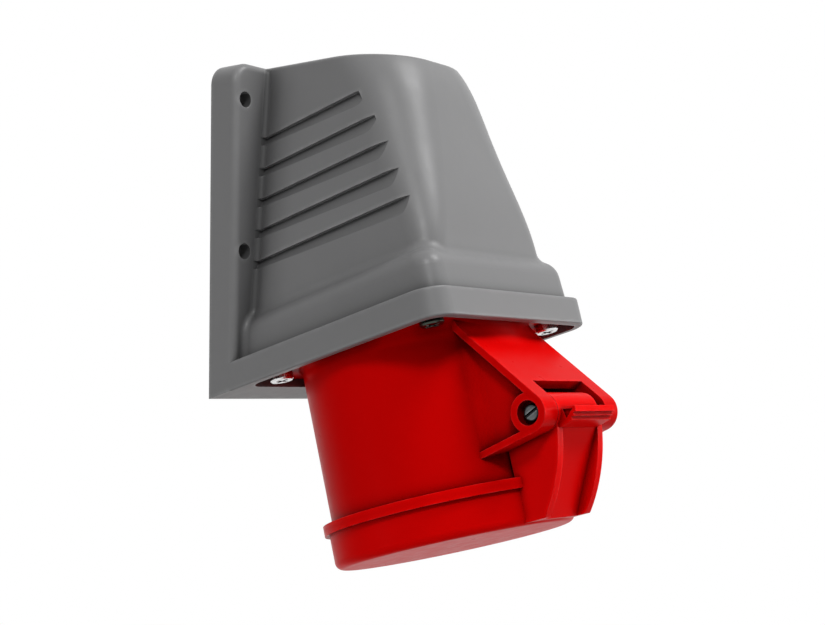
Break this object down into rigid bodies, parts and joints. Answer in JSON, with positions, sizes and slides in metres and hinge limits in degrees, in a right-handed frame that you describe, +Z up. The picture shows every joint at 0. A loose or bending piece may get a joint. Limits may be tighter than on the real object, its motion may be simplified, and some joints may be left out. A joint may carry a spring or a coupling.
{
  "type": "wall-mounted industrial socket-outlet",
  "caption": "Moulded wall hood with a slanted mouth that carries a round earthed power socket, closed by a sprung hinged lid.",
  "frame": {"origin": "on the wall plane, at the centre of the four wall holes", "axes": "+X to the right seen from the front, +Y into the wall, +Z up"},
  "size_m": [0.09, 0.1255, 0.1772],
  "materials": {
    "hood_plastic": "fine satin moulded surface",
    "red_plastic": "satin gloss moulded surface",
    "carrier_plastic": "moulded thermoset",
    "entry_plastic": "moulded",
    "seal_rubber": "soft black rubber",
    "screw_steel": "zinc-plated steel",
    "pin_steel": "plain steel",
    "spring_steel": "spring steel wire and strip",
    "contact_brass": "turned brass"
  },
  "bodies": {
    "socket": {"wall_box": "hood_plastic", "box_gasket": "seal_rubber", "socket_housing": "red_plastic", "flange_screws": "screw_steel", "hinge_pin": "pin_steel", "pin_clip": "spring_steel", "lid_spring": "spring_steel", "contact_insert": "carrier_plastic", "contact_block": "carrier_plastic", "carrier_retainer": "carrier_plastic", "carrier_screws": "screw_steel", "contact_l1": "contact_brass", "contact_l2": "contact_brass", "contact_l3": "contact_brass", "contact_n": "contact_brass", "contact_pe": "contact_brass", "terminal_screws": "screw_steel", "contact_springs": "spring_steel", "entry_washer": "seal_rubber", "entry_plug": "entry_plastic", "entry_nut": "entry_plastic"},
    "lid_leaf": {"lid": "red_plastic", "lid_seal": "seal_rubber"}
  },
  "joints": [
    {"name": "lid_hinge", "type": "hinge", "parent": "socket", "child": "lid_leaf", "pos_m": [0, -0.11396, -0.08015], "axis": [-1, 0, 0], "range_deg": [0, 90], "stiffness_Nm_per_rad": 0.05, "springref_deg": -57.3}
  ]
}
